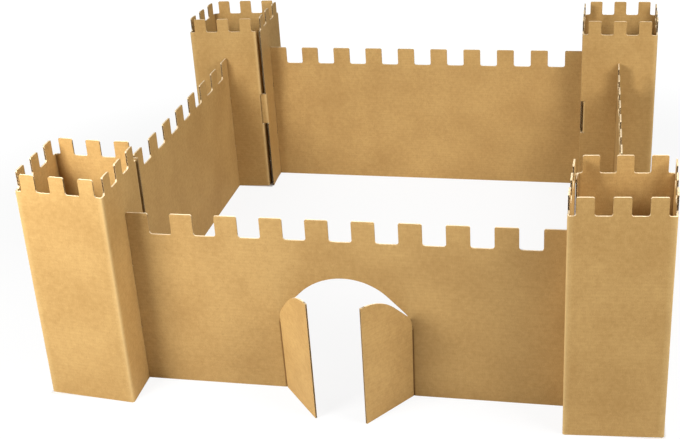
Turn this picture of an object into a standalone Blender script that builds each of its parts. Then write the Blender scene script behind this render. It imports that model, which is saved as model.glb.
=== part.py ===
"""A play castle of corrugated board: four square towers and four walls that hook into them.

Each piece is drawn as the flat sheet that is cut from the board, then creased and folded.
Metres, +Z up, the gate looks towards -Y, and the origin is on the floor below the middle.
"""

import math

import bmesh
import bpy
from mathutils import Vector

# Board, folds and cuts
BOARD = 0.003
FOLD_INNER_RADIUS = 0.0012
FOLD_STEPS = 4
CUT_WIDTH = 0.0012
PLAY = 0.0005
SLOT_PLAY = 0.0006
ROUND_STEPS = 3
SHARP_ROUND = 0.001

# Towers
TOWER_SIDE = 0.170
TOWER_HEIGHT = 0.447
TOWER_MERLON_HEIGHT = 0.0325
TOWER_MERLON_ROUND = 0.003
TOWER_GAP_ROUND = 0.004
MERLONS_PER_FACE = 3
SEAM_GAP = 0.0015
SEAM_SETBACK = 0.001
FLAP_WIDTH = 0.020
FLAP_TAPER = 0.004
LOCK_TAB_HEIGHT = 0.078
LOCK_TAB_BOTTOM = 0.172
LOCK_TAB_LENGTH = 0.022
LOCK_TAB_ROUND = 0.008
LOCK_TAB_INSET = 0.0065

# Walls
WALL_LENGTH = 0.780
WALL_HEIGHT = 0.348
WALL_MERLON_HEIGHT = 0.041
WALL_MERLON_ROUND = 0.003
WALL_GAP_ROUND = 0.005
WALL_MERLONS = 10

# Hooks on the walls' ends, and the height of each above the floor
HOOK_BOTTOMS = (0.070, 0.200)
HOOK_HEIGHT = 0.040
HOOK_DROP = 0.012
HOOK_WIDTH = 0.012
HOOK_ROUND = 0.003

# Gate, whose sides flare upwards to a hand-cut arch, and how far each leaf is folded out of the wall
GATE_FOOT_WIDTH = 0.239
GATE_WIDTH = 0.2434
GATE_HEIGHT = 0.2355
CROWN_RADIUS = 0.112
CROWN_ANGLE = math.radians(45.5)
CROWN_STEPS = 8
HAUNCH_RADIUS = 0.050
HAUNCH_STEPS = 5
LEAF_FOLD_LEFT = math.radians(50)
LEAF_FOLD_RIGHT = math.radians(54)

# Where each tower stands, left or right and front or back. The open tubes stand a little out of
# square: the first angle turns the front and back faces, the second the side faces.
TOWERS = {
    "tower_front_left": ((-1, -1), (math.radians(-5.5), math.radians(1.5))),
    "tower_front_right": ((1, -1), (math.radians(4.5), math.radians(-2.0))),
    "tower_back_left": ((-1, 1), (math.radians(4.5), math.radians(-3.0))),
    "tower_back_right": ((1, 1), (math.radians(-0.5), math.radians(-0.5))),
}

# Colours of the board, as linear values
TOWER_COLOUR = (0.57, 0.35, 0.145, 1.0)
WALL_COLOUR = (0.54, 0.33, 0.135, 1.0)

FOLD_OUTER_RADIUS = FOLD_INNER_RADIUS + BOARD
FOLD_MIDDLE_RADIUS = FOLD_INNER_RADIUS + BOARD / 2


def clear_scene():
    """Remove what the startup file holds."""
    for thing in list(bpy.data.objects):
        bpy.data.objects.remove(thing)


def board_material(name, colour):
    """Plain brown board, matt."""
    material = bpy.data.materials.new(name)
    material.use_nodes = True
    shader = material.node_tree.nodes["Principled BSDF"]
    shader.inputs["Base Color"].default_value = colour
    shader.inputs["Roughness"].default_value = 0.85
    shader.inputs["Metallic"].default_value = 0.0
    return material


def rounded(corners):
    """The outline through corners (x, z, radius), each radius turned as an arc."""
    points = []
    for index, (x, z, radius) in enumerate(corners):
        corner = Vector((x, z))
        back = (Vector(corners[index - 1][:2]) - corner).normalized()
        ahead = (Vector(corners[(index + 1) % len(corners)][:2]) - corner).normalized()
        half = back.angle(ahead) / 2
        if radius == 0 or half > math.pi / 2 - 1e-4:
            points.append(corner)
            continue
        reach = radius / math.tan(half)
        centre = corner + (back + ahead).normalized() * (radius / math.sin(half))
        first = corner + back * reach - centre
        turn = first.angle_signed(corner + ahead * reach - centre)
        for step in range(ROUND_STEPS + 1):
            angle = -turn * step / ROUND_STEPS
            across = Vector((-first.y, first.x))
            points.append(centre + first * math.cos(angle) + across * math.sin(angle))
    return points


def sheet_mesh(name, outline, holes=()):
    """A flat sheet as a mesh: X along the sheet, Y its height, Z the board's thickness."""
    curve = bpy.data.curves.new(name, "CURVE")
    curve.dimensions = "2D"
    curve.fill_mode = "BOTH"
    curve.extrude = BOARD / 2
    for ring in (outline, *holes):
        spline = curve.splines.new("POLY")
        spline.points.add(len(ring) - 1)
        for point, (x, z) in zip(spline.points, ring):
            point.co = (x, z, 0, 1)
        spline.use_cyclic_u = True
    drawing = bpy.data.objects.new(name, curve)
    bpy.context.scene.collection.objects.link(drawing)
    mesh = bpy.data.meshes.new_from_object(drawing.evaluated_get(bpy.context.evaluated_depsgraph_get()))
    bpy.data.objects.remove(drawing)
    sheet = bmesh.new()
    sheet.from_mesh(mesh)
    bpy.data.meshes.remove(mesh)
    bmesh.ops.remove_doubles(sheet, verts=sheet.verts, dist=0.00001)
    return sheet


def crease(sheet, start, end, within=None, lean=0.0):
    """Score the sheet along the lines where it bends, from start to end along X, each leaning by X over Y."""
    for step in range(FOLD_STEPS + 1):
        at = start + (end - start) * step / FOLD_STEPS
        faces = [face for face in sheet.faces if within is None or within(face.calc_center_median())]
        edges = {edge for face in faces for edge in face.edges}
        verts = {vert for face in faces for vert in face.verts}
        bmesh.ops.bisect_plane(
            sheet,
            geom=[*verts, *edges, *faces],
            dist=1e-6,
            plane_co=(at, 0, 0),
            plane_no=(1, -lean, 0),
        )


class FoldedPlan:
    """The plan of a sheet's outer face: straight panels through sharp corners, joined by folds.

    Every fold turns left. Distances along the sheet are taken halfway through the board.
    """

    def __init__(self, corners, start):
        self.panels = []
        self.folds = []
        self.zeros = []
        distance = start
        reach = 0.0
        for index in range(len(corners) - 1):
            ahead = (corners[index + 1] - corners[index]).normalized()
            length = (corners[index + 1] - corners[index]).length - reach
            origin = corners[index] + ahead * reach
            self.zeros.append(distance - reach)
            turn = 0.0
            if index < len(corners) - 2:
                beyond = (corners[index + 2] - corners[index + 1]).normalized()
                turn = ahead.angle(beyond)
                reach = FOLD_OUTER_RADIUS * math.tan(turn / 2)
                length -= reach
            self.panels.append((distance, distance + length, origin, ahead))
            distance += length
            if turn:
                bend = distance + FOLD_MIDDLE_RADIUS * turn
                self.folds.append((distance, bend, origin + ahead * length, ahead))
                distance = bend
        self.end = distance

    def place(self, distance, depth):
        """The plan point at a distance along the sheet and a depth below its outer face."""
        for start, end, origin, ahead in self.folds:
            if start < distance < end:
                turn = (distance - start) / FOLD_MIDDLE_RADIUS
                inward = Vector((-ahead.y, ahead.x))
                centre = origin + inward * FOLD_OUTER_RADIUS
                outward = ahead * math.sin(turn) - inward * math.cos(turn)
                return centre + outward * (FOLD_OUTER_RADIUS - depth)
        start, end, origin, ahead = min(
            self.panels, key=lambda panel: max(panel[0] - distance, distance - panel[1])
        )
        return origin + ahead * (distance - start) + Vector((-ahead.y, ahead.x)) * depth


def object_from_sheet(name, sheet, material, parts):
    """Make the folded sheet an object of the castle."""
    bmesh.ops.recalc_face_normals(sheet, faces=sheet.faces)
    if sheet.calc_volume(signed=True) < 0:
        bmesh.ops.reverse_faces(sheet, faces=sheet.faces)
    mesh = bpy.data.meshes.new(name)
    sheet.to_mesh(mesh)
    sheet.free()
    mesh.materials.append(material)
    piece = bpy.data.objects.new(name, mesh)
    parts.objects.link(piece)
    return piece


def tower_corners(place, stance):
    """The tower's plan corners, counter-clockwise from the seam, which faces the courtyard."""
    front, side = stance
    across = Vector((math.cos(front), math.sin(front))) * TOWER_SIDE / 2
    along = Vector((-math.sin(side), math.cos(side))) * TOWER_SIDE / 2
    signs = [(1, 1), (-1, 1), (-1, -1), (1, -1)]
    seam = signs.index((-place[0], -place[1]))
    return [across * a + along * b for a, b in signs[seam:] + signs[:seam]]


def tower_plan(corners):
    """The four panels and the flap, which lies inside behind the first panel."""
    first = (corners[1] - corners[0]).normalized()
    last = (corners[0] - corners[3]).normalized()
    slant = math.sin(first.angle(last))
    start = corners[0] + first * SEAM_SETBACK
    flap_fold = corners[0] - last * ((BOARD + SEAM_GAP) / slant)
    flap_end = flap_fold + first * FLAP_WIDTH
    return FoldedPlan([start, *corners[1:], flap_fold, flap_end], SEAM_SETBACK)


def lock_plan(corners):
    """The locking tab, which turns in at the seam and lies behind the last panel."""
    first = (corners[1] - corners[0]).normalized()
    last = (corners[0] - corners[3]).normalized()
    turn = first.angle(last)
    inset = LOCK_TAB_INSET / math.sin(turn)
    reach = FOLD_OUTER_RADIUS * math.tan(turn / 2)
    fold = corners[0] + first * inset
    root = inset + reach
    start = root - FOLD_MIDDLE_RADIUS * turn - LOCK_TAB_LENGTH
    tip = fold - last * (LOCK_TAB_LENGTH + reach)
    return FoldedPlan([tip, fold, corners[1]], start), start, root


def tower_battlements(plan):
    """The top edge, from the flap back to the seam: the gaps run on round the folds."""
    pitch = TOWER_SIDE / MERLONS_PER_FACE
    floor = TOWER_HEIGHT - TOWER_MERLON_HEIGHT
    zeros = [0.0, *plan.zeros[1:4]]
    corners = []
    for zero in reversed(zeros):
        for merlon in reversed(range(MERLONS_PER_FACE)):
            left = zero + pitch * (merlon + 0.25)
            right = left + pitch / 2
            corners += [
                (right, floor, TOWER_GAP_ROUND),
                (right, TOWER_HEIGHT, TOWER_MERLON_ROUND),
                (left, TOWER_HEIGHT, TOWER_MERLON_ROUND),
                (left, floor, TOWER_GAP_ROUND),
            ]
    return corners


def tower_outline(plan, lock_start, lock_root):
    """The tower's flat sheet: flap at the right, locking tab at the left."""
    floor = TOWER_HEIGHT - TOWER_MERLON_HEIGHT
    flap = plan.folds[-1][1]
    lock_top = LOCK_TAB_BOTTOM + LOCK_TAB_HEIGHT
    return rounded(
        [
            (SEAM_SETBACK, 0, 0),
            (flap, 0, 0),
            (plan.end, FLAP_TAPER, SHARP_ROUND),
            (plan.end, floor - FLAP_TAPER, SHARP_ROUND),
            (flap, floor, 0),
            *tower_battlements(plan),
            (SEAM_SETBACK, floor, SHARP_ROUND),
            (SEAM_SETBACK, lock_top + CUT_WIDTH, 0),
            (lock_root, lock_top + CUT_WIDTH, 0),
            (lock_root, lock_top, 0),
            (lock_start, lock_top, LOCK_TAB_ROUND),
            (lock_start, LOCK_TAB_BOTTOM, LOCK_TAB_ROUND),
            (lock_root, LOCK_TAB_BOTTOM, 0),
            (lock_root, LOCK_TAB_BOTTOM - CUT_WIDTH, 0),
            (SEAM_SETBACK, LOCK_TAB_BOTTOM - CUT_WIDTH, 0),
        ]
    )


def slot(left, right, bottom, top):
    """A cut-out with small rounded corners."""
    return rounded(
        [(left, bottom, SHARP_ROUND), (right, bottom, SHARP_ROUND), (right, top, SHARP_ROUND), (left, top, SHARP_ROUND)]
    )


def tower_slots(plan):
    """The slots for the walls' hooks, and the one for the locking tab across the flap's fold."""
    half = BOARD / 2 + SLOT_PLAY
    slots = []
    for zero in (0.0, plan.zeros[3]):
        middle = zero + TOWER_SIDE / 2
        for bottom in HOOK_BOTTOMS:
            top = bottom + HOOK_HEIGHT + HOOK_DROP + PLAY
            slots.append(slot(middle - half, middle + half, bottom - PLAY, top))
    fold_start, fold_end = plan.folds[-1][:2]
    far_side = fold_end + LOCK_TAB_INSET + BOARD + 2 * SLOT_PLAY - FOLD_OUTER_RADIUS
    lock_top = LOCK_TAB_BOTTOM + LOCK_TAB_HEIGHT
    slots.append(slot(fold_start, far_side, LOCK_TAB_BOTTOM - SLOT_PLAY, lock_top + SLOT_PLAY))
    return slots


def make_tower(name, place, stance, material, parts):
    """A square tube folded from one sheet, closed by its flap and locking tab."""
    corners = tower_corners(place, stance)
    plan = tower_plan(corners)
    tab, lock_start, lock_root = lock_plan(corners)
    sheet = sheet_mesh(name, tower_outline(plan, lock_start, lock_root), tower_slots(plan))

    def on_tab(point):
        in_height = abs(point.y - LOCK_TAB_BOTTOM - LOCK_TAB_HEIGHT / 2) < (LOCK_TAB_HEIGHT + CUT_WIDTH) / 2
        return in_height and point.x < lock_root - 1e-6

    for start, end, *_ in plan.folds:
        crease(sheet, start, end)
    crease(sheet, lock_root, lock_root)
    crease(sheet, tab.folds[0][0], lock_root, on_tab)
    for vert in sheet.verts:
        path = tab if on_tab(vert.co) else plan
        flat = path.place(vert.co.x, BOARD / 2 - vert.co.z)
        vert.co = (flat.x, flat.y, vert.co.y)
    tower = object_from_sheet(name, sheet, material, parts)
    spacing = WALL_LENGTH + TOWER_SIDE
    tower.location = (place[0] * spacing / 2, place[1] * spacing / 2, 0)
    return tower


def face_middle(name, outward):
    """The middle of a tower's face, at floor level. Outward is (1, 0) for its right-hand face."""
    place, (front, side) = TOWERS[name]
    spacing = WALL_LENGTH + TOWER_SIDE
    across = Vector((math.cos(front), math.sin(front))) * outward[0]
    along = Vector((-math.sin(side), math.cos(side))) * outward[1]
    return Vector(place) * spacing / 2 + (across + along) * TOWER_SIDE / 2


def wall_battlements(length):
    """The top edge from right to left. A merlon stands at each end, against the tower."""
    unit = length / (2 * WALL_MERLONS - 1)
    floor = WALL_HEIGHT - WALL_MERLON_HEIGHT
    corners = []
    for merlon in reversed(range(WALL_MERLONS)):
        left = 2 * merlon * unit
        right = left + unit
        if merlon < WALL_MERLONS - 1:
            corners.append((right, floor, WALL_GAP_ROUND))
        corners.append((right, WALL_HEIGHT, WALL_MERLON_ROUND))
        corners.append((left, WALL_HEIGHT, WALL_MERLON_ROUND))
        if merlon > 0:
            corners.append((left, floor, WALL_GAP_ROUND))
    return corners


def wall_hooks(edge, outward):
    """The hooks down one end of a wall, from the top: through the slot, then down behind the panel."""
    neck = edge + outward * (PLAY + BOARD + SLOT_PLAY)
    tip = neck + outward * HOOK_WIDTH
    corners = []
    for bottom in sorted(HOOK_BOTTOMS, reverse=True):
        corners += [
            (edge, bottom + HOOK_HEIGHT, 0),
            (tip, bottom + HOOK_HEIGHT, HOOK_ROUND),
            (tip, bottom - HOOK_DROP, HOOK_ROUND),
            (neck, bottom - HOOK_DROP, HOOK_ROUND),
            (neck, bottom, SHARP_ROUND),
            (edge, bottom, 0),
        ]
    return corners


def gate_spring():
    """How high the gate's creases reach, where the arch starts: a crown, a straight shoulder and a haunch."""
    shoulder_end = GATE_WIDTH / 2 - HAUNCH_RADIUS * (1 - math.sin(CROWN_ANGLE))
    shoulder_start = CROWN_RADIUS * math.sin(CROWN_ANGLE)
    shoulder_drop = (shoulder_end - shoulder_start) * math.tan(CROWN_ANGLE)
    crown_drop = CROWN_RADIUS * (1 - math.cos(CROWN_ANGLE))
    return GATE_HEIGHT - crown_drop - shoulder_drop - HAUNCH_RADIUS * math.cos(CROWN_ANGLE)


def gate_flare():
    """How much the gate's creases lean outwards for each metre of height."""
    return (GATE_WIDTH - GATE_FOOT_WIDTH) / 2 / gate_spring()


def half_arch(inset):
    """The right half of the arch, up from the crease to the top, cut smaller by the inset."""
    points = []
    for centre, height, radius, first, last, steps in (
        (GATE_WIDTH / 2 - HAUNCH_RADIUS, gate_spring(), HAUNCH_RADIUS, 0, math.pi / 2 - CROWN_ANGLE, HAUNCH_STEPS),
        (0, GATE_HEIGHT - CROWN_RADIUS, CROWN_RADIUS, math.pi / 2 - CROWN_ANGLE, math.pi / 2, CROWN_STEPS),
    ):
        for step in range(steps + 1):
            angle = first + (last - first) * step / steps
            reach = radius - inset
            points.append((centre + reach * math.cos(angle), height + reach * math.sin(angle)))
    return points


def under_arch(across, height):
    """Whether a point, its distance across from the gate's middle, is below the middle of the arch's cut."""
    spring = gate_spring()
    if height < spring + 1e-6:
        return True
    crown = GATE_HEIGHT - CROWN_RADIUS
    haunch = GATE_WIDTH / 2 - HAUNCH_RADIUS
    angle = math.pi / 2 - CROWN_ANGLE
    shoulder = across * math.cos(angle) + (height - crown) * math.sin(angle)
    if math.atan2(height - crown, across) > angle:
        return math.hypot(across, height - crown) < CROWN_RADIUS - CUT_WIDTH / 2
    if math.atan2(height - spring, across - haunch) > angle:
        return shoulder < CROWN_RADIUS - CUT_WIDTH / 2
    return math.hypot(across - haunch, height - spring) < HAUNCH_RADIUS - CUT_WIDTH / 2


def gate_cut(middle):
    """The cut that frees the gate's two leaves, along the bottom edge from left to right."""
    half_cut = CUT_WIDTH / 2
    crown_rise = math.sqrt((CROWN_RADIUS - CUT_WIDTH) ** 2 - half_cut**2)
    leaf = half_arch(CUT_WIDTH)[:-1]
    leaf.append((half_cut, GATE_HEIGHT - CROWN_RADIUS + crown_rise))
    wall = half_arch(0)
    left_leaf = [(middle - x, z, 0) for x, z in reversed(leaf)]
    left_wall = [(middle - x, z, 0) for x, z in wall]
    right_wall = [(middle + x, z, 0) for x, z in reversed(wall[:-1])]
    right_leaf = [(middle + x, z, 0) for x, z in leaf]
    return [
        (middle - half_cut, 0, 0),
        *left_leaf,
        *left_wall,
        *right_wall,
        *right_leaf,
        (middle + half_cut, 0, 0),
    ]


def wall_outline(length, gate):
    """The wall's flat sheet, with hooks at both ends."""
    return rounded(
        [
            (0, 0, 0),
            *(gate_cut(length / 2) if gate else []),
            (length, 0, 0),
            *reversed(wall_hooks(length, 1)),
            *wall_battlements(length),
            *wall_hooks(0, -1),
        ]
    )


def fold_leaf(sheet, middle, opens, angle):
    """Fold one leaf of the gate out of the wall about its crease. Opens is 1 for the left leaf, -1 for the right."""
    flare = gate_flare() * opens
    hinge = middle - opens * GATE_FOOT_WIDTH / 2

    def beyond(point):
        return (point.x - hinge + flare * point.y) * opens

    def on_leaf(point):
        across = (middle - point.x) * opens
        return beyond(point) > 1e-6 and across > 0 and under_arch(across, point.y)

    bend = FOLD_MIDDLE_RADIUS * angle
    crease(sheet, hinge, hinge, lean=-flare)
    crease(sheet, hinge, hinge + opens * bend, on_leaf, -flare)
    for vert in sheet.verts:
        if not on_leaf(vert.co):
            continue
        out = beyond(vert.co)
        crease_at = vert.co.x - opens * out
        turn = min(out, bend) / FOLD_MIDDLE_RADIUS
        straight = max(out - bend, 0)
        radius = FOLD_MIDDLE_RADIUS - vert.co.z
        along = radius * math.sin(turn) + straight * math.cos(turn)
        forward = FOLD_MIDDLE_RADIUS - radius * math.cos(turn) + straight * math.sin(turn)
        vert.co = (crease_at + opens * along, vert.co.y, forward)


def make_wall(name, start, end, material, parts, gate=False):
    """A wall between the middles of two tower faces."""
    span = end - start
    length = span.length - 2 * PLAY
    sheet = sheet_mesh(name, wall_outline(length, gate))
    if gate:
        fold_leaf(sheet, length / 2, 1, LEAF_FOLD_LEFT)
        fold_leaf(sheet, length / 2, -1, LEAF_FOLD_RIGHT)
    for vert in sheet.verts:
        vert.co = (vert.co.x, -vert.co.z, vert.co.y)
    wall = object_from_sheet(name, sheet, material, parts)
    corner = start + span.normalized() * PLAY
    wall.location = (corner.x, corner.y, 0)
    wall.rotation_euler.z = math.atan2(span.y, span.x)
    return wall


def make_walls(material, parts):
    """Each wall runs between the facing sides of two towers. Only the front one has a gate."""
    front_left, front_right, back_left, back_right = TOWERS
    right, left, back, front = (1, 0), (-1, 0), (0, 1), (0, -1)
    ends = {
        "front_wall": ((front_left, right), (front_right, left)),
        "right_wall": ((front_right, back), (back_right, front)),
        "back_wall": ((back_right, left), (back_left, right)),
        "left_wall": ((back_left, front), (front_left, back)),
    }
    return [
        make_wall(name, face_middle(*start), face_middle(*end), material, parts, gate=name == "front_wall")
        for name, (start, end) in ends.items()
    ]


def centre_on_origin(castle, pieces):
    """Move the whole castle so that the origin is below the middle of its outer box."""
    bpy.context.view_layer.update()
    points = [piece.matrix_world @ vertex.co for piece in pieces for vertex in piece.data.vertices]
    for axis in (0, 1):
        places = [point[axis] for point in points]
        castle.location[axis] = -(max(places) + min(places)) / 2


def main():
    clear_scene()
    parts = bpy.data.collections.new("cardboard_castle")
    bpy.context.scene.collection.children.link(parts)
    tower_board = board_material("tower_board", TOWER_COLOUR)
    wall_board = board_material("wall_board", WALL_COLOUR)
    pieces = [make_tower(name, place, stance, tower_board, parts) for name, (place, stance) in TOWERS.items()]
    pieces += make_walls(wall_board, parts)
    castle = bpy.data.objects.new("castle", None)
    parts.objects.link(castle)
    for piece in pieces:
        piece.parent = castle
    centre_on_origin(castle, pieces)


main()
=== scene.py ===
import math

import bmesh
import bpy
import numpy as np
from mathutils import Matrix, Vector


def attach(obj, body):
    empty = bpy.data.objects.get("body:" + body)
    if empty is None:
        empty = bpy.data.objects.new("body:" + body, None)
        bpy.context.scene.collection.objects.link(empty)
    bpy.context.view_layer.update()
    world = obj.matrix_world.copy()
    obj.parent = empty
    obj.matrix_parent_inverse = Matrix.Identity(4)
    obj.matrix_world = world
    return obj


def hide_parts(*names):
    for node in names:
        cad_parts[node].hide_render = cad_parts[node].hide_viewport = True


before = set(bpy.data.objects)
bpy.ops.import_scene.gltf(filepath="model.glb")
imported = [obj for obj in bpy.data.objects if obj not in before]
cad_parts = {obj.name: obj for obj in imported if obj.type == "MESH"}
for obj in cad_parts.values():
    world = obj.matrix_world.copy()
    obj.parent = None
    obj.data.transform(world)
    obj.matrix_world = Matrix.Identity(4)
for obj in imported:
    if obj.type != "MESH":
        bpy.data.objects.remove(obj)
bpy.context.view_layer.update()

# Towers
# Four square tubes of brown single-wall corrugated board, each cut from one sheet, creased four times
# and closed by a flap inside the seam. A locking tab turns in from the first panel's edge through a
# slot across the flap's fold. Nothing braces the tubes, so each stands a little out of square.

BOARD = 0.003
LINER = 0.0003
FLUTED = 0.00022
FLUTE_PITCH = 0.0065
FLUTE_REACH = 0.009
TROUGH = 0.0006
FOLD_RADIUS = 0.0012
CUT_WIDTH = 0.0013
SLOT_PLAY = 0.0006
PLAY = 0.0005
WAVER = 0.0003
CREASE_WIDTH = 0.0026
SHORT_CUT = 0.004
COLUMN_STEP = 0.009
BELOW_GAPS = 0.005

TOWER_SIDE = 0.170
TOWER_HEIGHT = 0.447
TOWER_FLOOR = TOWER_HEIGHT - 0.0325
TOWER_PITCH = TOWER_SIDE / 3
MERLON_ROUND = 0.003
TOWER_GAP_ROUND = 0.004
SEAM_GAP = 0.0015
SEAM_SETBACK = 0.001
FLAP_WIDTH = 0.020
FLAP_TAPER = 0.004
LOCK_TAB_BOTTOM = 0.172
LOCK_TAB_TOP = 0.250
LOCK_TAB_LENGTH = 0.022
LOCK_TAB_ROUND = 0.008
LOCK_TAB_INSET = 0.0065
HOOK_BOTTOMS = (0.070, 0.200)
HOOK_HEIGHT = 0.040
HOOK_DROP = 0.012

TOWER_SPACING = 0.950
CASTLE_SHIFT = 0.000698 + 0.007631j
# How far the first panel's free edge stands out at the seams that have sprung open.
SPRUNG_SEAMS = {"tower_front_left": 0.0065, "tower_back_left": 0.008}
# Painted shade on the inner liner beside a sprung seam, and how far it reaches from the seam's edge.
SEAM_PAINTED_SHADE = 5.0
SEAM_PAINTED_SHADE_WIDTH = 0.012
# Each tower's place as seen from the middle, and the turns of its front and of its sides.
TOWERS = {
    "tower_front_left": (-1 - 1j, math.radians(-5.5), math.radians(1.5)),
    "tower_front_right": (1 - 1j, math.radians(4.5), math.radians(-2.0)),
    "tower_back_left": (-1 + 1j, math.radians(4.5), math.radians(-3.0)),
    "tower_back_right": (1 + 1j, math.radians(-0.5), math.radians(-0.5)),
}


class Socket:
    """A socket of a finish. Arithmetic on it adds Math nodes, and node() adds any other."""

    def __init__(self, tree, link=None):
        self.tree = tree
        self.link = link

    def node(self, kind, settings, inputs, output=0):
        """Add a node: its settings first, then the values or links of its sockets."""
        made = self.tree.nodes.new(kind)
        for name, value in settings.items():
            setattr(made, name, value)
        for name, value in inputs.items():
            if isinstance(value, Socket):
                self.tree.links.new(value.link, made.inputs[name])
            else:
                made.inputs[name].default_value = value
        return Socket(self.tree, made.outputs[output])

    def maths(self, operation, *others):
        return self.node("ShaderNodeMath", {"operation": operation}, dict(enumerate((self, *others))))

    def __add__(self, other):
        return self.maths("ADD", other)

    def __sub__(self, other):
        return self.maths("SUBTRACT", other)

    def __rsub__(self, other):
        return self.maths("MULTIPLY", -1.0) + other

    def __mul__(self, other):
        return self.maths("MULTIPLY", other)

    __radd__ = __add__
    __rmul__ = __mul__

    def step(self, low, high):
        """0 below low, 1 above high, smooth between."""
        smooth = {"interpolation_type": "SMOOTHSTEP"}
        return self.node("ShaderNodeMapRange", smooth, {0: self, 1: low, 2: high})

    def mix(self, first, second):
        """The first colour where this socket is 0, the second where it is 1."""
        return self.node("ShaderNodeMix", {"data_type": "RGBA"}, {0: self, 6: first, 7: second}, 2)


def board_finish(name, dark, light, cut_colour):
    """Brown paper liner: clouded and mottled, with upright fibres, flecks and faint washboard lines."""
    material = bpy.data.materials.new(name)
    material.use_nodes = True
    tree = material.node_tree
    shader = tree.nodes["Principled BSDF"]
    paper = Socket(tree)
    spot = paper.node("ShaderNodeTexCoord", {}, {}, "Object")

    def noise(stretch, detail):
        at = paper.node("ShaderNodeVectorMath", {"operation": "MULTIPLY"}, {0: spot, 1: stretch})
        return paper.node("ShaderNodeTexNoise", {}, {"Vector": at, "Scale": 1.0, "Detail": detail})

    clouds = noise((10, 10, 10), 3)
    mottle = noise((120, 120, 120), 3)
    fibres = noise((900, 900, 140), 2)
    grain = noise((750, 750, 750), 2)
    flecks = noise((500, 500, 260), 1).step(0.70, 0.76)
    height = paper.node("ShaderNodeSeparateXYZ", {}, {0: spot}, 2)
    washboard = (height * (2 * math.pi / FLUTE_PITCH)).maths("COSINE") * clouds
    cut = paper.node("ShaderNodeAttribute", {"attribute_name": "cut"}, {}, 2)
    crease = paper.node("ShaderNodeAttribute", {"attribute_name": "crease"}, {}, 2)
    tone = 0.5 + 0.8 * (clouds - 0.5) + 0.6 * (mottle - 0.5) + 0.4 * (fibres - 0.5) + 0.7 * (grain - 0.5)
    face = (tone + 0.05 * washboard).step(0.0, 1.0).mix(dark, light)
    face = (0.3 * flecks).mix(face, (0.20, 0.11, 0.04, 1))
    # The tone attribute: the inner liner's own paleness, less painted shade beside open seams, plus painted
    # light on the gate's leaves.
    liner_tone_with_painted_light_and_shade = paper.node("ShaderNodeAttribute", {"attribute_name": "tone"}, {}, 2)
    face = paper.node("ShaderNodeVectorMath", {"operation": "SCALE"}, {0: face, "Scale": 1.0 + 0.14 * liner_tone_with_painted_light_and_shade})
    # Creases: a painted highlight on a fold's outer side, and painted shade on its inner side and in the
    # gate's valleys.
    face = (0.4 * crease.maths("MAXIMUM", 0.0)).mix(face, (0.78, 0.56, 0.26, 1))
    face = (0.85 * (0.0 - crease).maths("MAXIMUM", 0.0)).mix(face, (0.16, 0.075, 0.02, 1))
    # Negative cuts paint shade into the open flutes, near black deep inside.
    face = (0.0 - cut).step(0.0, 0.4).mix(face, (0.02, 0.01, 0.004, 1))
    face = cut.maths("MAXIMUM", 0.0).mix(face, cut_colour)
    tree.links.new(face.link, shader.inputs["Base Color"])
    rough = 0.72 + 0.2 * (fibres - 0.5)
    tree.links.new(rough.link, shader.inputs["Roughness"])
    relief = 0.55 * washboard + 0.3 * fibres + 0.25 * grain
    bump = paper.node("ShaderNodeBump", {}, {"Strength": 1.0, "Distance": 0.0001, "Height": relief}, 0)
    tree.links.new(bump.link, shader.inputs["Normal"])
    shader.inputs["Metallic"].default_value = 0.0
    shader.inputs["Specular IOR Level"].default_value = 0.2
    return material


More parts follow.
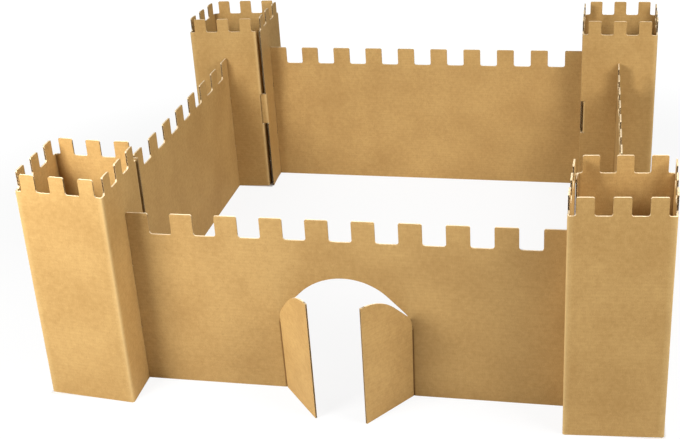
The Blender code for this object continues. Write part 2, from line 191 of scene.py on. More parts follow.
class Sheet:
    """A sheet of board, gathered from grids in flat measures: along, up, and deep below its outer face.

    The inner liner is paler by a tone of 1, less a painted shade that fades away from an open seam. The outer
    liner's tone, which paints light on the gate's leaves, is set before its grids are added.
    """

    def __init__(self, bend):
        self.bend = bend
        self.points = []
        self.quads = []
        self.cuts = []
        self.creases = []
        self.tones = []
        self.outer_painted_light = 0.0
        self.seam_painted_shade = 0.0
        self.count = 0

    def add(self, along, up, deep, cut=0.0, keep=True, bend=None):
        """Bend a grid into place. Its faces look along its first direction crossed with its second."""
        along, up, deep, cut = np.broadcast_arrays(along, up, deep, cut)
        place, crease = (bend or self.bend)(along, up, deep)
        number = np.arange(along.size).reshape(along.shape)
        quads = np.stack([number[:-1, :-1], number[1:, :-1], number[1:, 1:], number[:-1, 1:]], -1)
        quads = quads[np.broadcast_to(keep, quads.shape[:2])].reshape(-1, 4)
        self.points.append(place.reshape(-1, 3))
        self.quads.append(quads + self.count)
        self.cuts.append(cut.ravel()[quads].ravel())
        self.creases.append(np.where(cut == 0, crease, 0).ravel()[quads].ravel())
        # The inner liner is paler, less the painted shade beside an open seam. The outer liner carries its
        # painted light.
        inner_tone_less_painted_shade = 1.0 - self.seam_painted_shade * np.exp(-((along / SEAM_PAINTED_SHADE_WIDTH) ** 2))
        tone = np.where(deep > BOARD / 2, inner_tone_less_painted_shade, self.outer_painted_light)
        self.tones.append(tone.ravel()[quads].ravel())
        self.count += along.size

    def faces(self, along, up, keep=True, bend=None):
        """Both liners over one grid, the outer one at no depth and the inner one turned the other way."""
        along, up = np.broadcast_arrays(along, up)
        keep = np.broadcast_to(keep, (along.shape[0] - 1, along.shape[1] - 1))
        self.add(along, up, 0.0, keep=keep, bend=bend)
        self.add(along.T, up.T, BOARD, keep=keep.T, bend=bend)

    def shut_cut(self, along, up, out_along, out_up, bend=None):
        """A cut along the flutes: two liners' ends and a shallow trough between, carried along the cut."""
        quarter = BOARD / 4
        deep = [0.0, LINER, quarter, 2 * quarter, 3 * quarter, BOARD - LINER, BOARD]
        deep = np.array(deep)[:, None]
        drop = np.array([0.0, 0.0, 0.8, 1.0, 0.8, 0.0, 0.0])[:, None] * TROUGH
        self.add(along - out_along * drop, up - out_up * drop, deep, 1.0 - 0.3 * drop / TROUGH, bend=bend)

    def open_cut(self, along, up, bend=None):
        """A cut across the flutes, the board on its left: liners' ends, and a cosine wave of paper between.

        The wave and the liners' inner sides run back into the board by the reach that one can see, painted
        ever darker inwards as painted shade, and an end painted dark closes them there in place of the
        shade further in.
        """
        inward = -np.sign(up[-1] - up[0])
        back = along + inward * FLUTE_REACH
        into = np.stack([along, back])
        swing = BOARD / 2 - LINER - FLUTED / 2
        wave = BOARD / 2 + swing * np.cos(2 * np.pi * up / FLUTE_PITCH)
        thick = np.array([-0.5, 0.5])[:, None] * FLUTED
        # Painted shade in the flutes: a little pale at the cut, near black at the reach.
        flute_painted_shade = np.array([0.1, -1.0])
        self.add(along[None], up, np.array([0.0, LINER])[:, None], 0.4, bend=bend)
        self.add(along[None], up, np.array([BOARD - LINER, BOARD])[:, None], 0.4, bend=bend)
        self.add(along[None], up, wave + thick, 0.35, bend=bend)
        self.add(into, up, LINER, flute_painted_shade[:, None], bend=bend)
        self.add(into.T, up[:, None], BOARD - LINER, flute_painted_shade, bend=bend)
        self.add(into.T, up[:, None], (wave - FLUTED / 2)[:, None], flute_painted_shade, bend=bend)
        self.add(into, up, wave + FLUTED / 2, flute_painted_shade[:, None], bend=bend)
        # An end painted dark at the reach stands in for the shade deeper in the flutes.
        self.add(back[None], up, np.array([LINER, BOARD - LINER])[:, None], -1.0, bend=bend)

    def finish_edge(self, corners, columns=(), bend=None):
        """Cut along corners (along, up, rounding), board on their left. Upright cuts show open flutes."""
        spots = np.array([complex(x, z) for x, z, _ in corners])
        steps = np.diff(spots) / abs(np.diff(spots))
        starts = spots[:-1].copy()
        ends = spots[1:].copy()
        for index in range(1, len(corners) - 1):
            radius = corners[index][2]
            turn = np.angle(steps[index] / steps[index - 1])
            if radius == 0 or abs(turn) < 1e-3:
                continue
            reach = radius * abs(math.tan(turn / 2))
            ends[index - 1] -= steps[index - 1] * reach
            starts[index] += steps[index] * reach
            angles = turn * np.linspace(0, 1, 5)
            outward = -1j * steps[index - 1] * np.exp(1j * angles)
            arc = ends[index - 1] + np.sign(turn) * radius * (1j * steps[index - 1] + outward)
            self.shut_cut(arc.real, arc.imag, outward.real, outward.imag, bend)
        for start, end, step in zip(starts, ends, steps):
            length = abs(end - start)
            if length < 1e-6:
                continue
            if abs(step.imag) > abs(step.real) and length > SHORT_CUT:
                share = np.linspace(0, 1, 1 + math.ceil(length / (FLUTE_PITCH / 8)))
                line = start + (end - start) * share
                self.open_cut(line.real, line.imag, bend)
                continue
            share = np.linspace(0, 1, 2)
            if abs(step.real) > 0.5:
                inner = (np.asarray(columns) - start.real) / (end.real - start.real)
                share = np.unique(np.concatenate([share, inner[(inner > 0) & (inner < 1)]]))
            line = start + (end - start) * share
            outward = np.full(len(line), -1j * step)
            self.shut_cut(line.real, line.imag, outward.real, outward.imag, bend)

    def piece(self, name, material):
        """Make the gathered grids one welded object, at the origin, smooth but for its sharp cuts."""
        mesh = bpy.data.meshes.new(name)
        mesh.from_pydata(np.concatenate(self.points), [], np.concatenate(self.quads))
        for mark, values in (("cut", self.cuts), ("crease", self.creases), ("tone", self.tones)):
            mesh.attributes.new(mark, "FLOAT", "CORNER").data.foreach_set("value", np.concatenate(values))
        welded = bmesh.new()
        welded.from_mesh(mesh)
        bmesh.ops.remove_doubles(welded, verts=welded.verts, dist=5e-6)
        bmesh.ops.dissolve_degenerate(welded, dist=1e-6, edges=welded.edges)
        welded.to_mesh(mesh)
        welded.free()
        mesh.materials.append(material)
        mesh.shade_smooth()
        mesh.set_sharp_from_angle(angle=math.radians(35))
        made = bpy.data.objects.new(name, mesh)
        bpy.context.scene.collection.objects.link(made)
        return made


def folded_path(corners, start):
    """A sheet's plan, as complex numbers: panels through the corners, and folds as arcs that touch both.

    Gives panels and folds as (from, to, first point, direction, whether it turns), and panels' zeros.
    """
    outer = FOLD_RADIUS + BOARD
    parts = []
    zeros = []
    reach = 0.0
    steps = np.diff(corners) / abs(np.diff(corners))
    for index, step in enumerate(steps):
        length = abs(corners[index + 1] - corners[index]) - reach
        origin = corners[index] + step * reach
        zeros.append(start - reach)
        turn = np.angle(steps[index + 1] / step) if index + 1 < len(steps) else 0.0
        reach = outer * math.tan(turn / 2)
        length -= reach
        parts.append((start, start + length, origin, step, False))
        start += length
        if turn:
            bent = start + (FOLD_RADIUS + BOARD / 2) * turn
            parts.append((start, bent, origin + step * length, step, True))
            start = bent
    return parts, zeros


def waver(along, up, phase):
    """How far a face wavers inwards: three slow sines of place, added and kept above nothing."""
    rise = np.sin(23 * along + 2 * phase) * np.sin(11 * up + phase)
    rise = rise + 0.6 * np.sin(51 * along + 17 * up + 3 * phase) + 0.4 * np.sin(37 * up - 9 * along + phase)
    return WAVER * (0.5 + 0.25 * rise)


def sprung(along, spring):
    """How far a panel stands out beside an open seam, from nothing at its middle."""
    return spring * np.clip(1 - 2 * along / TOWER_SIDE, 0, 1) ** 1.5


def along_path(parts, middle, phase, spring=0.0):
    """The bend of a folded sheet: straight on its panels, and round each fold's centre in a fold."""

    def bend(along, up, deep):
        outer = FOLD_RADIUS + BOARD
        under = deep + waver(along, up, phase) - sprung(along, spring)
        plan = np.zeros(along.shape, complex)
        crease = np.zeros(along.shape)
        for index, (start, end, origin, step, turning) in enumerate(parts):
            low = -1.0 if index == 0 else start
            high = 9.0 if index == len(parts) - 1 else end
            here = (along >= low) & (along <= high)
            if turning:
                turn = (along - start) / (FOLD_RADIUS + BOARD / 2)
                placed = origin + 1j * step * outer - 1j * step * np.exp(1j * turn) * (outer - under)
                crease += np.exp(-(((along - (start + end) / 2) / CREASE_WIDTH) ** 2))
            else:
                placed = origin + step * (along - start) + 1j * step * under
            plan = np.where(here, placed, plan)
        plan = plan + middle
        # The crease mark paints a highlight on a fold's outer side and shade on its inner side.
        return np.stack([plan.real, plan.imag, up], -1), np.where(deep < BOARD / 2, crease, -crease)

    return bend


def corner_cut(away, radius):
    """How far a rounded corner lies back from its edge, at a distance from its other side."""
    return radius - np.sqrt(radius**2 - np.clip(radius - away, 0, radius) ** 2)


def battlement_columns(sides, gap_round):
    """Where a battlemented edge needs columns: at the merlons' sides and over the roundings beside them."""
    turn = np.linspace(0, np.pi / 2, 5)[:-1]
    left, right = sides[::2], sides[1::2]
    merlon = MERLON_ROUND * (1 - np.cos(turn))
    gap = gap_round * (1 - np.cos(turn))
    near = [np.add.outer(left, merlon), np.subtract.outer(right, merlon)]
    near += [np.subtract.outer(left, gap), np.add.outer(right, gap)]
    return np.concatenate([side.ravel() for side in near])


def raise_battlements(sheet, columns, sides, floor, top, gap_round, shoulder, low=None):
    """Carry both faces from the shoulder up to the battlements, and each merlon above its gaps."""
    kink = floor + gap_round
    inside = np.subtract.outer(columns, sides[::2]) > 1e-7
    inside = inside & (np.subtract.outer(columns, sides[1::2]) < -1e-7)
    away = abs(np.subtract.outer(columns, sides)).min(1)
    edge = np.where(inside.any(1), kink, floor + corner_cut(away, gap_round))
    if low is not None:
        edge = np.minimum(edge, low)
    share = np.linspace(0, 1, 4)
    sheet.faces(columns[:, None], shoulder + (edge[:, None] - shoulder) * share)
    for left, right in zip(sides[::2], sides[1::2]):
        own = columns[(columns > left - 1e-7) & (columns < right + 1e-7)]
        crest = top - corner_cut(np.minimum(own - left, right - own), MERLON_ROUND)
        share = np.linspace(0, 1, 7)
        sheet.faces(own[:, None], kink + (crest[:, None] - kink) * share)


def battlement_corners(sides, floor, top, gap_round):
    """The battlements' corners from right to left."""
    corners = []
    for left, right in zip(sides[::2][::-1], sides[1::2][::-1]):
        corners += [(right, floor, gap_round), (right, top, MERLON_ROUND)]
        corners += [(left, top, MERLON_ROUND), (left, floor, gap_round)]
    return corners


def make_tower(name, material):
    """Lay out a tower's sheet as the carton maker cuts it, and bend it round its four corners."""
    place, front, side = TOWERS[name]
    across = np.exp(1j * front) * TOWER_SIDE / 2
    depth = 1j * np.exp(1j * side) * TOWER_SIDE / 2
    quarters = [1 + 1j, -1 + 1j, -1 - 1j, 1 - 1j]
    seam = quarters.index(-place)
    corners = [across * q.real + depth * q.imag for q in quarters[seam:] + quarters[:seam]]
    first = (corners[1] - corners[0]) / abs(corners[1] - corners[0])
    last = (corners[0] - corners[3]) / abs(corners[0] - corners[3])
    turn = np.angle(first / last)
    flap_fold = corners[0] - last * (BOARD + SEAM_GAP) / math.sin(turn)
    plan = [corners[0] + first * SEAM_SETBACK, *corners[1:], flap_fold, flap_fold + first * FLAP_WIDTH]
    parts, zeros = folded_path(np.array(plan), SEAM_SETBACK)
    zeros = [0.0, *zeros[1:4]]
    middle = place * TOWER_SPACING / 2 + CASTLE_SHIFT
    phase = 3.7 * place.real + 1.9 * place.imag
    spring = SPRUNG_SEAMS.get(name, 0.0)
    sheet = Sheet(along_path(parts, middle, phase, spring))
    # Shade is painted on the inner liner beside a sprung seam.
    sheet.seam_painted_shade = SEAM_PAINTED_SHADE if spring else 0.0

    inset = LOCK_TAB_INSET / math.sin(turn)
    reach = (FOLD_RADIUS + BOARD) * math.tan(turn / 2)
    tab_root = inset + reach
    tab_start = tab_root - (FOLD_RADIUS + BOARD / 2) * turn - LOCK_TAB_LENGTH
    tab_fold = corners[0] + first * inset
    tab_plan = [tab_fold - last * (LOCK_TAB_LENGTH + reach), tab_fold, corners[1]]
    tab_parts, _ = folded_path(np.array(tab_plan), tab_start)
    tab_bend = along_path(tab_parts, middle - 1j * first * sprung(tab_root, spring), phase)

    end = parts[-1][1]
    flap = parts[-2][1]
    sides = np.concatenate([zero + TOWER_PITCH * (np.arange(6) / 2 + 0.25) for zero in zeros])
    slot_half = BOARD / 2 + SLOT_PLAY
    slots = []
    for zero in (zeros[0], zeros[3]):
        for bottom in HOOK_BOTTOMS:
            left = zero + TOWER_SIDE / 2 - slot_half
            slot_top = bottom + HOOK_HEIGHT + HOOK_DROP + PLAY
            slots.append((left, left + 2 * slot_half, bottom - PLAY, slot_top))
    slot_end = flap + LOCK_TAB_INSET + BOARD + 2 * SLOT_PLAY - FOLD_RADIUS - BOARD
    slots.append((parts[-2][0], slot_end, LOCK_TAB_BOTTOM - SLOT_PLAY, LOCK_TAB_TOP + SLOT_PLAY))
    notch = (0.0, tab_root, LOCK_TAB_BOTTOM - CUT_WIDTH, LOCK_TAB_TOP + CUT_WIDTH)

    columns = []
    for low, high, _, _, turning in parts:
        count = 9 if turning else 1 + math.ceil((high - low) / COLUMN_STEP)
        columns.append(np.linspace(low, high, count))
    columns += [battlement_columns(sides, TOWER_GAP_ROUND), [tab_root], *[s[:2] for s in slots]]
    columns = np.unique(np.round(np.concatenate(columns), 7))
    shoulder = TOWER_FLOOR - BELOW_GAPS
    rows = [np.linspace(0, shoulder, 42), notch[2:], *[s[2:] for s in slots]]
    rows = np.unique(np.round(np.concatenate(rows), 7))
    taper = FLAP_TAPER * np.clip((columns - flap) / (end - flap), 0, 1)
    middles = np.meshgrid((columns[1:] + columns[:-1]) / 2, (rows[1:] + rows[:-1]) / 2, indexing="ij")
    keep = np.ones(middles[0].shape, bool)
    for left, right, bottom, top in [*slots, notch]:
        hole = (middles[0] > left) & (middles[0] < right) & (middles[1] > bottom) & (middles[1] < top)
        keep &= ~hole
    sheet.faces(columns[:, None], np.clip(rows, taper[:, None], None), keep)
    low = TOWER_FLOOR + TOWER_GAP_ROUND - taper
    raise_battlements(sheet, columns, sides, TOWER_FLOOR, TOWER_HEIGHT, TOWER_GAP_ROUND, shoulder, low)

    round_off = LOCK_TAB_ROUND * (1 - np.cos(np.linspace(0, np.pi / 2, 6)))
    tab_columns = [tab_start + round_off, np.linspace(tab_start + LOCK_TAB_ROUND, tab_parts[0][1], 4)]
    tab_columns = np.unique(np.concatenate([*tab_columns, np.linspace(tab_parts[1][0], tab_root, 9)]))
    cut_back = corner_cut(tab_columns - tab_start, LOCK_TAB_ROUND)
    share = np.linspace(0, 1, 9)
    tab_height = LOCK_TAB_TOP - LOCK_TAB_BOTTOM - 2 * cut_back[:, None]
    sheet.faces(tab_columns[:, None], LOCK_TAB_BOTTOM + cut_back[:, None] + tab_height * share, bend=tab_bend)

    notch_bottom, notch_top = notch[2:]
    outline = [(tab_root, LOCK_TAB_BOTTOM, 0), (tab_root, notch_bottom, 0)]
    outline += [(SEAM_SETBACK, notch_bottom, 0), (SEAM_SETBACK, 0, 0), (flap, 0, 0), (end, FLAP_TAPER, 0)]
    outline += [(end, TOWER_FLOOR - FLAP_TAPER, 0), (flap, TOWER_FLOOR, 0)]
    outline += battlement_corners(sides, TOWER_FLOOR, TOWER_HEIGHT, TOWER_GAP_ROUND)
    outline += [(SEAM_SETBACK, TOWER_FLOOR, 0), (SEAM_SETBACK, notch_top, 0), (tab_root, notch_top, 0)]
    outline += [(tab_root, LOCK_TAB_TOP, 0)]
    sheet.finish_edge(outline, columns)
    tab_outline = [(tab_root, LOCK_TAB_TOP, 0), (tab_start, LOCK_TAB_TOP, LOCK_TAB_ROUND)]
    tab_outline += [(tab_start, LOCK_TAB_BOTTOM, LOCK_TAB_ROUND), (tab_root, LOCK_TAB_BOTTOM, 0)]
    sheet.finish_edge(tab_outline, tab_columns, tab_bend)
    for left, right, bottom, top in slots:
        rim = [(left, bottom, 0), (left, top, 0), (right, top, 0), (right, bottom, 0), (left, bottom, 0)]
        sheet.finish_edge(rim, columns)
    return sheet.piece(name + "_sheet", material)


CUT_PAPER = (0.80, 0.66, 0.44, 1)
tower_board = board_finish("tower_board_paper", (0.39, 0.225, 0.072, 1), (0.54, 0.34, 0.124, 1), CUT_PAPER)
for tower in TOWERS:
    folded = make_tower(tower, tower_board)
    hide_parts(tower)
    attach(folded, "root")

# Plain walls
# Three straight sheets of the same board, with ten merlons each. Two hooks on each end go through a
# slot in the tower's face and down behind it, so nothing is glued.

WALL_HEIGHT = 0.348
WALL_FLOOR = WALL_HEIGHT - 0.041
WALL_GAP_ROUND = 0.005
WALL_MERLONS = 10
HOOK_WIDTH = 0.012
HOOK_ROUND = 0.003


def face_middle(name, outward):
    """The middle of a tower's face in plan. Outward is 1 for its right-hand face, 1j for its back one."""
    place, front, side = TOWERS[name]
    across = np.exp(1j * front) * outward.real + 1j * np.exp(1j * side) * outward.imag
    return place * TOWER_SPACING / 2 + across * TOWER_SIDE / 2 + CASTLE_SHIFT


def straight(corner, step, phase):
    """The bend of an unfolded wall, which stands on the line from a corner along a direction."""

    def bend(along, up, deep):
        plan = corner + step * along + 1j * step * (deep - BOARD / 2 + waver(along, up, phase) - WAVER / 2)
        return np.stack([plan.real, plan.imag, up], -1), np.zeros(along.shape)

    return bend


def wall_line(ends):
    """A wall's first corner, direction and length between two tower faces."""
    start, end = (face_middle(*tower_face) for tower_face in ends)
    step = (end - start) / abs(end - start)
    return start + step * PLAY, step, abs(end - start) - 2 * PLAY


def add_hooks(sheet, edge, outward):
    """A wall end's two hooks: a neck through the slot, and a tongue down behind the tower's face."""
    neck = edge + outward * (PLAY + BOARD + SLOT_PLAY)
    tip = neck + outward * HOOK_WIDTH
    turn = HOOK_ROUND * (1 - np.cos(np.linspace(0, np.pi / 2, 5)))
    reaches = np.concatenate([turn, HOOK_WIDTH - turn[::-1]])
    near_cut = corner_cut(reaches, HOOK_ROUND)
    far_cut = corner_cut(HOOK_WIDTH - reaches, HOOK_ROUND)
    for bottom in HOOK_BOTTOMS:
        top = bottom + HOOK_HEIGHT
        order = slice(None, None, outward)
        across = (neck + outward * reaches)[order, None]
        under = (bottom - HOOK_DROP + near_cut + far_cut)[order, None]
        over = (top - far_cut)[order, None]
        sheet.faces(np.sort([edge, neck])[:, None], np.linspace(bottom, top, 5))
        sheet.faces(across, under + (over - under) * np.linspace(0, 1, 5))
        rim = [(edge, bottom, 0), (neck, bottom, 0), (neck, bottom - HOOK_DROP, HOOK_ROUND)]
        rim += [(tip, bottom - HOOK_DROP, HOOK_ROUND), (tip, top, HOOK_ROUND), (edge, top, 0)]
        if outward < 0:
            rim = rim[::-1]
        sheet.finish_edge(rim, across.ravel())


def wall_columns(length):
    """The merlons' sides along a wall, and its columns."""
    sides = np.arange(2 * WALL_MERLONS) * length / (2 * WALL_MERLONS - 1)
    columns = np.concatenate([battlement_columns(sides, WALL_GAP_ROUND), np.linspace(0, length, 79)])
    columns = np.unique(np.round(np.clip(columns, 0, length), 7))
    return sides, columns


def add_end(sheet, edge, outward):
    """A wall end's raw edge, upwards on the right or downwards on the left, broken by its hooks."""
    heights = [0.0]
    for bottom in HOOK_BOTTOMS:
        heights += [bottom, bottom + HOOK_HEIGHT]
    heights.append(WALL_HEIGHT - MERLON_ROUND)
    for low, high in zip(heights[::2], heights[1::2]):
        pair = (low, high) if outward > 0 else (high, low)
        sheet.finish_edge([(edge, pair[0], 0), (edge, pair[1], 0)])


def top_wall(sheet, length, sides, columns, shoulder):
    """A wall's battlements with their cut edge, which starts and ends in a merlon's rounded corner."""
    raise_battlements(sheet, columns, sides, WALL_FLOOR, WALL_HEIGHT, WALL_GAP_ROUND, shoulder)
    crest = battlement_corners(sides, WALL_FLOOR, WALL_HEIGHT, WALL_GAP_ROUND)[1:-1]
    crest = [(length, WALL_HEIGHT - MERLON_ROUND, 0), *crest, (0, WALL_HEIGHT - MERLON_ROUND, 0)]
    sheet.finish_edge(crest, columns)
    for edge, outward in ((0, -1), (length, 1)):
        add_hooks(sheet, edge, outward)
        add_end(sheet, edge, outward)


def make_plain_wall(name, ends, material, phase):
    """A wall without a gate: one grid from the floor to the shoulder below its battlements."""
    corner, step, length = wall_line(ends)
    sheet = Sheet(straight(corner, step, phase))
    sides, columns = wall_columns(length)
    shoulder = WALL_FLOOR - BELOW_GAPS
    sheet.faces(columns[:, None], np.linspace(0, shoulder, 31))
    top_wall(sheet, length, sides, columns, shoulder)
    sheet.finish_edge([(0, 0, 0), (length, 0, 0)], columns)
    return sheet.piece(name + "_sheet", material)


wall_board = board_finish("wall_board_paper", (0.36, 0.21, 0.070, 1), (0.505, 0.32, 0.118, 1), CUT_PAPER)
PLAIN_WALLS = {
    "right_wall": (("tower_front_right", 1j), ("tower_back_right", -1j)),
    "back_wall": (("tower_back_right", -1 + 0j), ("tower_back_left", 1 + 0j)),
    "left_wall": (("tower_back_left", -1j), ("tower_front_left", 1j)),
}
for number, (wall, ends) in enumerate(PLAIN_WALLS.items()):
    standing = make_plain_wall(wall, ends, wall_board, 1.3 + 2.1 * number)
    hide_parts(wall)
    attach(standing, "root")

# Front wall and its gate
# One sheet like the others, with a gate cut in it: a slit up the middle and round a hand-drawn arch
# frees two leaves, which stay part of the sheet and are folded forwards about two creases. The
# creases lean outwards a little, and the fold presses a valley into the paper, which is painted
# with shade.

GATE_FOOT = 0.239 / 2
GATE_HALF = 0.2434 / 2
GATE_HEIGHT = 0.2355
CROWN_RADIUS = 0.112
CROWN_ANGLE = math.radians(45.5)
HAUNCH_RADIUS = 0.050
LEAF_TURNS = {-1: math.radians(50), 1: math.radians(54)}
FRAME_HALF = 0.152
FRAME_TOP = 0.270
FRAME_ROWS = 24
HINGE_ROWS = 15
VALLEY_DEPTH = 0.0007
VALLEY_WIDTH = 0.0014
KNIFE_WIDTH = 0.0004
# How much lighter the leaves' faces are painted, standing in for the light they catch.
LEAF_PAINTED_LIGHT = 1.2
LEAF_FOLD_BAND = 0.0034
SIDE_SHARE = 0.42
OPEN_SHARE = 0.62

shoulder_end = GATE_HALF - HAUNCH_RADIUS * (1 - math.sin(CROWN_ANGLE))
shoulder_start = CROWN_RADIUS * math.sin(CROWN_ANGLE)
shoulder_drop = (shoulder_end - shoulder_start) * math.tan(CROWN_ANGLE)
haunch_rise = HAUNCH_RADIUS * math.cos(CROWN_ANGLE)
crown_rise = CROWN_RADIUS * (1 - math.cos(CROWN_ANGLE))
GATE_SPRING = GATE_HEIGHT - crown_rise - shoulder_drop - haunch_rise
GATE_FLARE = (GATE_HALF - GATE_FOOT) / GATE_SPRING


def half_arch(share, inset=0.0):
    """A point across and up on half the arch, by its share of the way: haunch, straight, then crown."""
    joint = math.pi / 2 - CROWN_ANGLE
    haunch = HAUNCH_RADIUS * joint
    shoulder = (shoulder_end - shoulder_start) / math.cos(CROWN_ANGLE)
    crown = CROWN_RADIUS * CROWN_ANGLE
    way = np.asarray(share) * (haunch + shoulder + crown)
    low = np.clip(way, 0, haunch) / HAUNCH_RADIUS
    high = joint + np.clip(way - haunch - shoulder, 0, crown) / CROWN_RADIUS
    slide = np.clip((way - haunch) / shoulder, 0, 1)
    haunch_end = GATE_HALF - HAUNCH_RADIUS + (HAUNCH_RADIUS - inset) * np.exp(1j * low) + 1j * GATE_SPRING
    crown_end = (CROWN_RADIUS - inset) * np.exp(1j * high) + 1j * (GATE_HEIGHT - CROWN_RADIUS)
    spot = haunch_end * (1 - slide) + crown_end * slide
    return spot.real, spot.imag


def arch_height(across, inset):
    """How high the arch is at a distance across, between close samples of half_arch."""
    x, z = half_arch(np.linspace(1, 0, 800), inset)
    return np.interp(across, x, z)


def front_bend(corner, step, middle, phase):
    """The front wall's bend: straight, but pressed in beside each hinge. Leaves are bent before it."""
    flat = straight(corner, step, phase)

    def bend(along, up, deep):
        place, _ = flat(along, up, deep)
        away = abs(abs(along - middle) - GATE_FOOT - GATE_FLARE * up)
        near = np.exp(-((away / VALLEY_WIDTH) ** 2)) * (up < GATE_SPRING + 0.004) * (deep < BOARD / 2)
        press = np.array([-step.imag, step.real, 0.0])
        # The valley beside each hinge is pressed in and marked for painted shade.
        return place + (VALLEY_DEPTH * near)[..., None] * press, -near

    return bend


def leaf_bend(corner, step, middle, side, phase):
    """The bend of one leaf: points beyond the crease turn round the fold's centre, then run straight."""
    flat = straight(corner, step, phase)
    opens = -side
    angle = LEAF_TURNS[side]
    radius = FOLD_RADIUS + BOARD / 2

    def bend(along, up, deep):
        hinge = middle + side * (GATE_FOOT + GATE_FLARE * up)
        out = (along - hinge) * opens
        near = np.exp(-(((out - radius * angle / 2) / VALLEY_WIDTH) ** 2)) * (deep < BOARD / 2)
        thick = BOARD / 2 - deep - VALLEY_DEPTH * near
        turn = np.clip(out, 0, radius * angle) / radius
        beyond = np.clip(out - radius * angle, 0, None)
        across = (radius - thick) * np.sin(turn) + beyond * np.cos(turn)
        forward = radius - (radius - thick) * np.cos(turn) + beyond * np.sin(turn)
        place, _ = flat(hinge + opens * across, up, BOARD / 2 - forward)
        # The fold's back gets a painted highlight, and its valley in front gets painted shade.
        crest = np.exp(-(((out - radius * angle / 2) / CREASE_WIDTH) ** 2)) * (deep >= BOARD / 2)
        return place, crest - near

    return bend


def add_gate_surround(sheet, middle, side, columns):
    """One half of the wall round the gate: straight rays from the hinge and arch out to a rectangle."""
    across = side * (columns - middle)
    across = np.sort(across[(across > -1e-7) & (across < FRAME_HALF + 1e-7)])[::-1]
    hinge = GATE_SPRING * np.arange(HINGE_ROWS) / HINGE_ROWS
    share = np.linspace(0, SIDE_SHARE, FRAME_ROWS - HINGE_ROWS + 1)[:-1]
    top_share = SIDE_SHARE + (1 - SIDE_SHARE) * (FRAME_HALF - across) / FRAME_HALF
    share = np.concatenate([share, top_share])
    arch_x, arch_z = half_arch(share)
    inner_x = np.concatenate([GATE_FOOT + GATE_FLARE * hinge, arch_x])
    inner_z = np.concatenate([hinge, arch_z])
    rows = FRAME_TOP * np.arange(FRAME_ROWS) / FRAME_ROWS
    outer_x = np.concatenate([np.full(FRAME_ROWS, FRAME_HALF), across])
    outer_z = np.concatenate([rows, np.full(len(across), FRAME_TOP)])
    ray = np.array([0, 0.012, 0.03, 0.055, 0.09, 0.16, 0.3, 0.5, 0.75, 1.0])[:, None]
    x = inner_x + (outer_x - inner_x) * ray
    z = inner_z + (outer_z - inner_z) * ray
    order = slice(None, None, side)
    sheet.faces(middle + side * x[order], z[order])


def add_leaf(sheet, middle, side, bend):
    """One leaf: upright lines from the floor to the arch, close together in the fold, and its raw edges."""
    fold = np.linspace(0, LEAF_FOLD_BAND, 13)
    beyond = GATE_HALF - LEAF_FOLD_BAND
    rest = beyond - (beyond - CUT_WIDTH / 2) * np.linspace(0, 1, 30) ** 1.6
    top_x = np.concatenate([GATE_HALF - fold, rest[1:]])
    top_z = np.where(top_x > GATE_HALF - KNIFE_WIDTH, GATE_SPRING, arch_height(top_x, KNIFE_WIDTH))
    share = np.arange(HINGE_ROWS + 1)[None] / HINGE_ROWS
    x = top_x[:, None] * (GATE_FOOT / GATE_HALF * (1 - share) + share)
    x[-1] = CUT_WIDTH / 2
    z = top_z[:, None] * share
    order = slice(None, None, -side)
    sheet.faces(middle + side * x[order], z[order], bend=bend)

    def edge(across, up):
        """Order an edge so that the leaf is on its left, and say where it is along the wall."""
        turned = slice(None, None, side)
        return middle + side * across[turned], up[turned]

    along, up = edge(*half_arch(np.linspace(0, OPEN_SHARE, 150), KNIFE_WIDTH))
    sheet.open_cut(along, up, bend=bend)
    across, up = half_arch(np.linspace(OPEN_SHARE, 1, 24), KNIFE_WIDTH)
    across = np.maximum(across, CUT_WIDTH / 2)
    outward = np.stack([side * across, up - GATE_HEIGHT + CROWN_RADIUS]) / (CROWN_RADIUS - KNIFE_WIDTH)
    along, up = edge(across, up)
    sheet.shut_cut(along, up, *outward[:, :: side], bend=bend)
    rise = np.linspace(arch_height(CUT_WIDTH / 2, KNIFE_WIDTH), 0, 290)
    along, up = edge(np.full(290, CUT_WIDTH / 2), rise)
    sheet.open_cut(along, up, bend=bend)
    foot = x[::-1, 0]
    along, up = edge(foot, np.zeros(len(foot)))
    sheet.shut_cut(along, up, np.zeros(len(foot)), np.full(len(foot), -1.0), bend=bend)


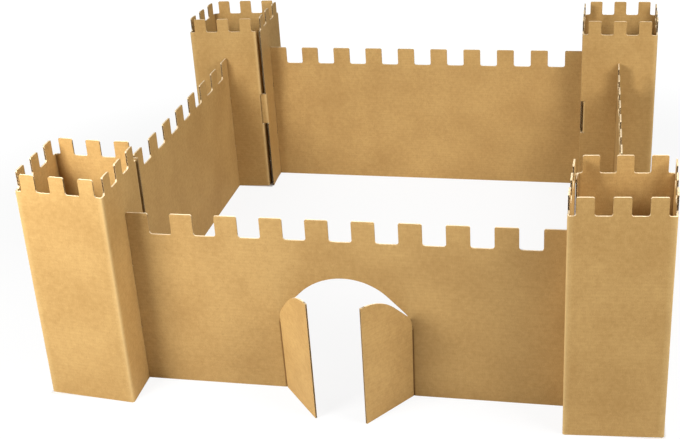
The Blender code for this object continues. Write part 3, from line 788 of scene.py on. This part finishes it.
def make_front_wall(material):
    """The sheet round the gate as rays and plain grids, and the two leaves bent out of it."""
    corner, step, length = wall_line((("tower_front_left", 1 + 0j), ("tower_front_right", -1 + 0j)))
    middle = length / 2
    phase = 0.4
    sheet = Sheet(front_bend(corner, step, middle, phase))
    sides, columns = wall_columns(length)
    columns = np.unique(np.round([*columns, middle - FRAME_HALF, middle, middle + FRAME_HALF], 7))
    shoulder = WALL_FLOOR - BELOW_GAPS
    rows = FRAME_TOP * np.arange(FRAME_ROWS + 1) / FRAME_ROWS
    for beside in (columns < middle - FRAME_HALF + 1e-6, columns > middle + FRAME_HALF - 1e-6):
        sheet.faces(columns[beside][:, None], rows)
    sheet.faces(columns[:, None], np.linspace(FRAME_TOP, shoulder, 5))
    top_wall(sheet, length, sides, columns, shoulder)
    for side in (-1, 1):
        add_gate_surround(sheet, middle, side, columns)
        # The leaves' outer liner is painted lighter, standing in for the light they catch.
        sheet.outer_painted_light = LEAF_PAINTED_LIGHT
        add_leaf(sheet, middle, side, leaf_bend(corner, step, middle, side, phase))
        sheet.outer_painted_light = 0.0
        order = slice(None, None, -side)
        across, up = half_arch(np.linspace(0, OPEN_SHARE, 150))
        sheet.open_cut(middle + side * across[order], up[order])
        across, up = half_arch(np.linspace(OPEN_SHARE, 1, 24))
        outward = np.stack([-side * across, GATE_HEIGHT - CROWN_RADIUS - up]) / CROWN_RADIUS
        sheet.shut_cut(middle + side * across[order], up[order], *outward[:, order])
    sheet.finish_edge([(0, 0, 0), (middle - GATE_FOOT, 0, 0)], columns)
    sheet.finish_edge([(middle + GATE_FOOT, 0, 0), (length, 0, 0)], columns)
    return sheet.piece("front_wall_sheet", material)


gated = make_front_wall(wall_board)
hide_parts("front_wall")
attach(gated, "root")

# Floor, light and camera
# A plain white floor that keeps a soft shadow and is dark inside the towers, a near soft lamp from
# the front left with two fainter ones from the right, and a camera in front, a little to the right
# and looking down.

scene = bpy.context.scene
scene.view_settings.view_transform = "Standard"


def looked_at(paint):
    """1 where the camera, a reflection or a clear pane looks straight at it, 0 for the light it gives."""
    seen = paint.node("ShaderNodeLightPath", {}, {}, "Is Camera Ray")
    seen = seen + paint.node("ShaderNodeLightPath", {}, {}, "Is Glossy Ray")
    return seen + paint.node("ShaderNodeLightPath", {}, {}, "Is Transmission Ray")


floor_paint = bpy.data.materials.new("floor_paint")
floor_paint.use_nodes = True
floor_tree = floor_paint.node_tree
floor_tree.nodes.clear()
plain = Socket(floor_tree)
lit = plain.node("ShaderNodeBsdfDiffuse", {}, {"Color": (0.6, 0.6, 0.6, 1)})
white = plain.node("ShaderNodeEmission", {}, {"Color": (1, 1, 1, 1), "Strength": 1.06})
spot = plain.node("ShaderNodeTexCoord", {}, {}, "Object")
away = plain.node("ShaderNodeVectorMath", {"operation": "LENGTH"}, {0: spot}, "Value")
shift = (CASTLE_SHIFT.real, CASTLE_SHIFT.imag, 0)
tower_middle = (TOWER_SPACING / 2, TOWER_SPACING / 2, 0)
for centre in (shift, tower_middle):
    spot = plain.node("ShaderNodeVectorMath", {"operation": "SUBTRACT"}, {0: spot, 1: centre})
    spot = plain.node("ShaderNodeVectorMath", {"operation": "ABSOLUTE"}, {0: spot})
beside_x = plain.node("ShaderNodeSeparateXYZ", {}, {0: spot}, 0)
beside_y = plain.node("ShaderNodeSeparateXYZ", {}, {0: spot}, 1)
open_floor = beside_x.maths("MAXIMUM", beside_y).step(0.082, 0.087)
white_share = looked_at(plain) * open_floor * (0.83 + 0.17 * away.step(0.9, 1.8))
blend = plain.node("ShaderNodeMixShader", {}, {0: white_share, 1: lit, 2: white})
ground = floor_tree.nodes.new("ShaderNodeOutputMaterial")
floor_tree.links.new(blend.link, ground.inputs["Surface"])

floor_mesh = bpy.data.meshes.new("floor")
floor_corners = [(x * 15, y * 15, -0.0003) for x, y in ((-1, -1), (1, -1), (1, 1), (-1, 1))]
floor_mesh.from_pydata(floor_corners, [], [(0, 1, 2, 3)])
floor_mesh.materials.append(floor_paint)
floor = bpy.data.objects.new("floor", floor_mesh)
scene.collection.objects.link(floor)

world = bpy.data.worlds.new("studio")
world.use_nodes = True
world_tree = world.node_tree
backdrop = world_tree.nodes["Background"]
strength = 0.1 + 0.9 * looked_at(Socket(world_tree))
world_tree.links.new(strength.link, backdrop.inputs["Strength"])
backdrop.inputs["Color"].default_value = (1, 1, 1, 1)
scene.world = world


def add_lamp(name, place, target, size, power):
    """A square soft lamp that looks from its place at a target, and isn't seen itself."""
    lamp = bpy.data.lights.new(name, "AREA")
    lamp.shape = "SQUARE"
    lamp.size = size
    lamp.energy = power
    holder = bpy.data.objects.new(name, lamp)
    holder.location = place
    holder.visible_camera = False
    aim = Vector(target) - Vector(place)
    holder.rotation_euler = aim.to_track_quat("-Z", "Y").to_euler()
    scene.collection.objects.link(holder)


add_lamp("key_lamp", (-0.90, -1.35, 1.10), (-0.47, -0.47, 0.35), 0.6, 31)
add_lamp("side_lamp", (1.30, -0.90, 1.20), (0.30, -0.30, 0.20), 0.7, 18)
add_lamp("high_lamp", (1.20, -0.30, 2.40), (0.0, 0.0, 0.25), 1.3, 26)

camera = bpy.data.objects.new("camera", bpy.data.cameras.new("camera"))
camera.location = (0.4285, -2.1787, 1.2058)
camera.rotation_euler = (math.radians(66.24), math.radians(2.90), math.radians(11.08))
camera.data.sensor_width = 36
camera.data.lens = 60.25
camera.data.shift_x = -0.0401
camera.data.shift_y = -0.0679
scene.collection.objects.link(camera)
scene.camera = camera
